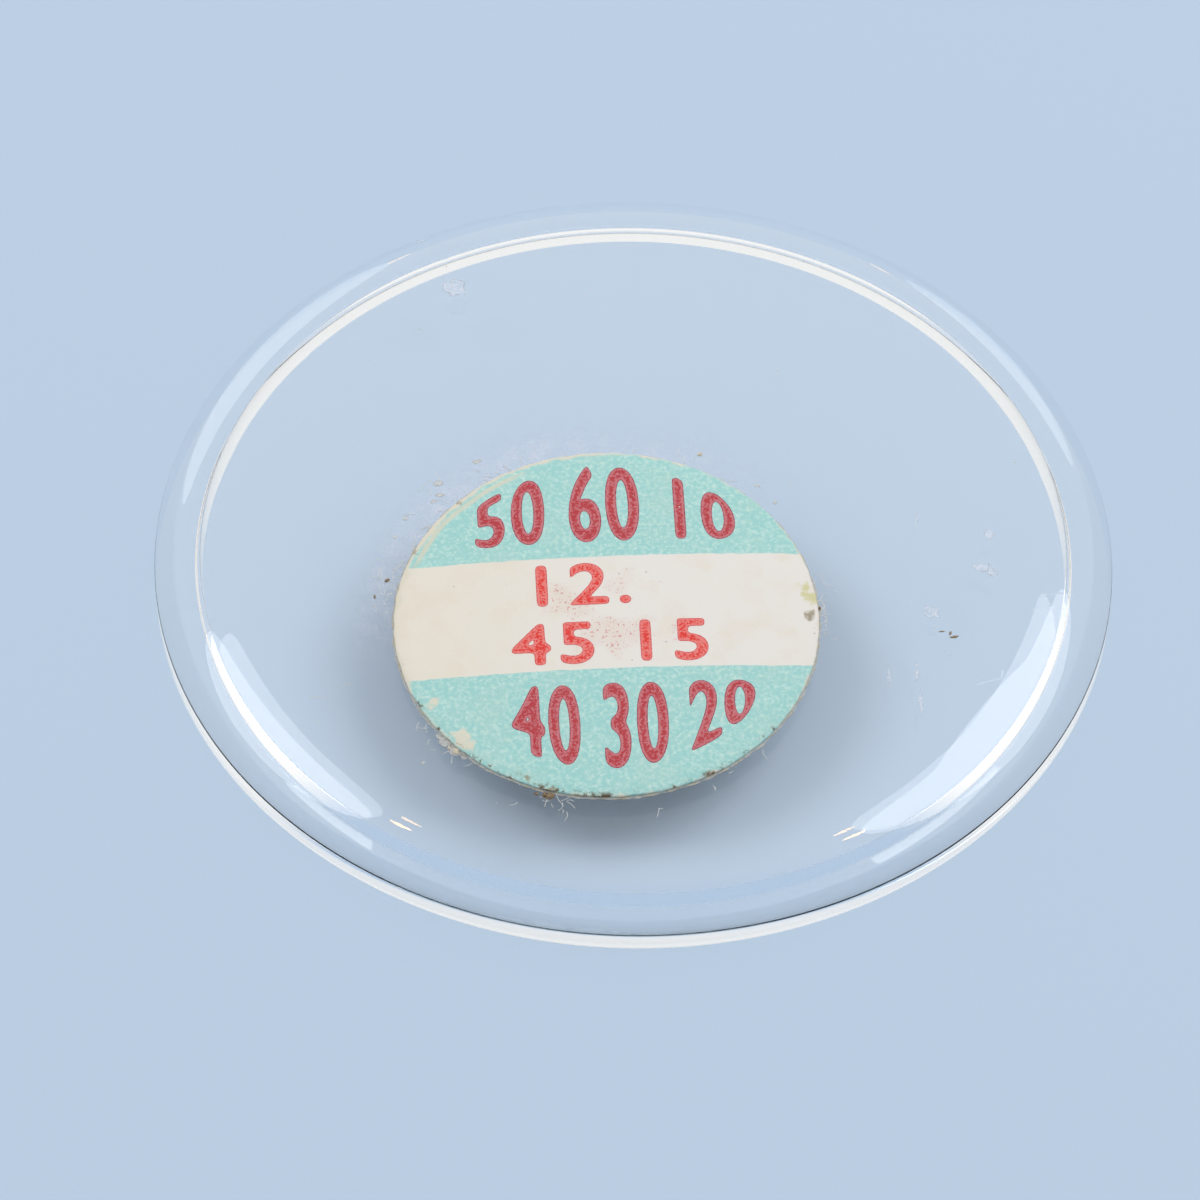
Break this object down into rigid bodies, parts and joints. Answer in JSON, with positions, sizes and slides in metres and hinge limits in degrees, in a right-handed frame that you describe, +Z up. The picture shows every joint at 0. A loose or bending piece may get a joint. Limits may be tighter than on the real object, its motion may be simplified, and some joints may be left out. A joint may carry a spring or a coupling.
{
  "type": "watch crystal",
  "caption": "Domed clear acrylic watch crystal with an upright rim wall and a flat annular foot, and a round printed paper label stuck on the dome.",
  "frame": {"origin": "centre of the rim's foot, on the surface that the crystal stands on", "axes": "+Z up through the top of the dome, which is also the crystal's axis of revolution; -Y towards the viewer of the picture, where the label lies; +X to the viewer's right"},
  "size_m": [0.029, 0.029, 0.0029],
  "materials": {
    "clear_acrylic": "polished",
    "aged_adhesive": "matte",
    "printed_paper": "matte"
  },
  "bodies": {
    "root": {"crystal": "clear_acrylic", "label_adhesive": "aged_adhesive", "label_paper": "printed_paper"}
  },
  "joints": []
}
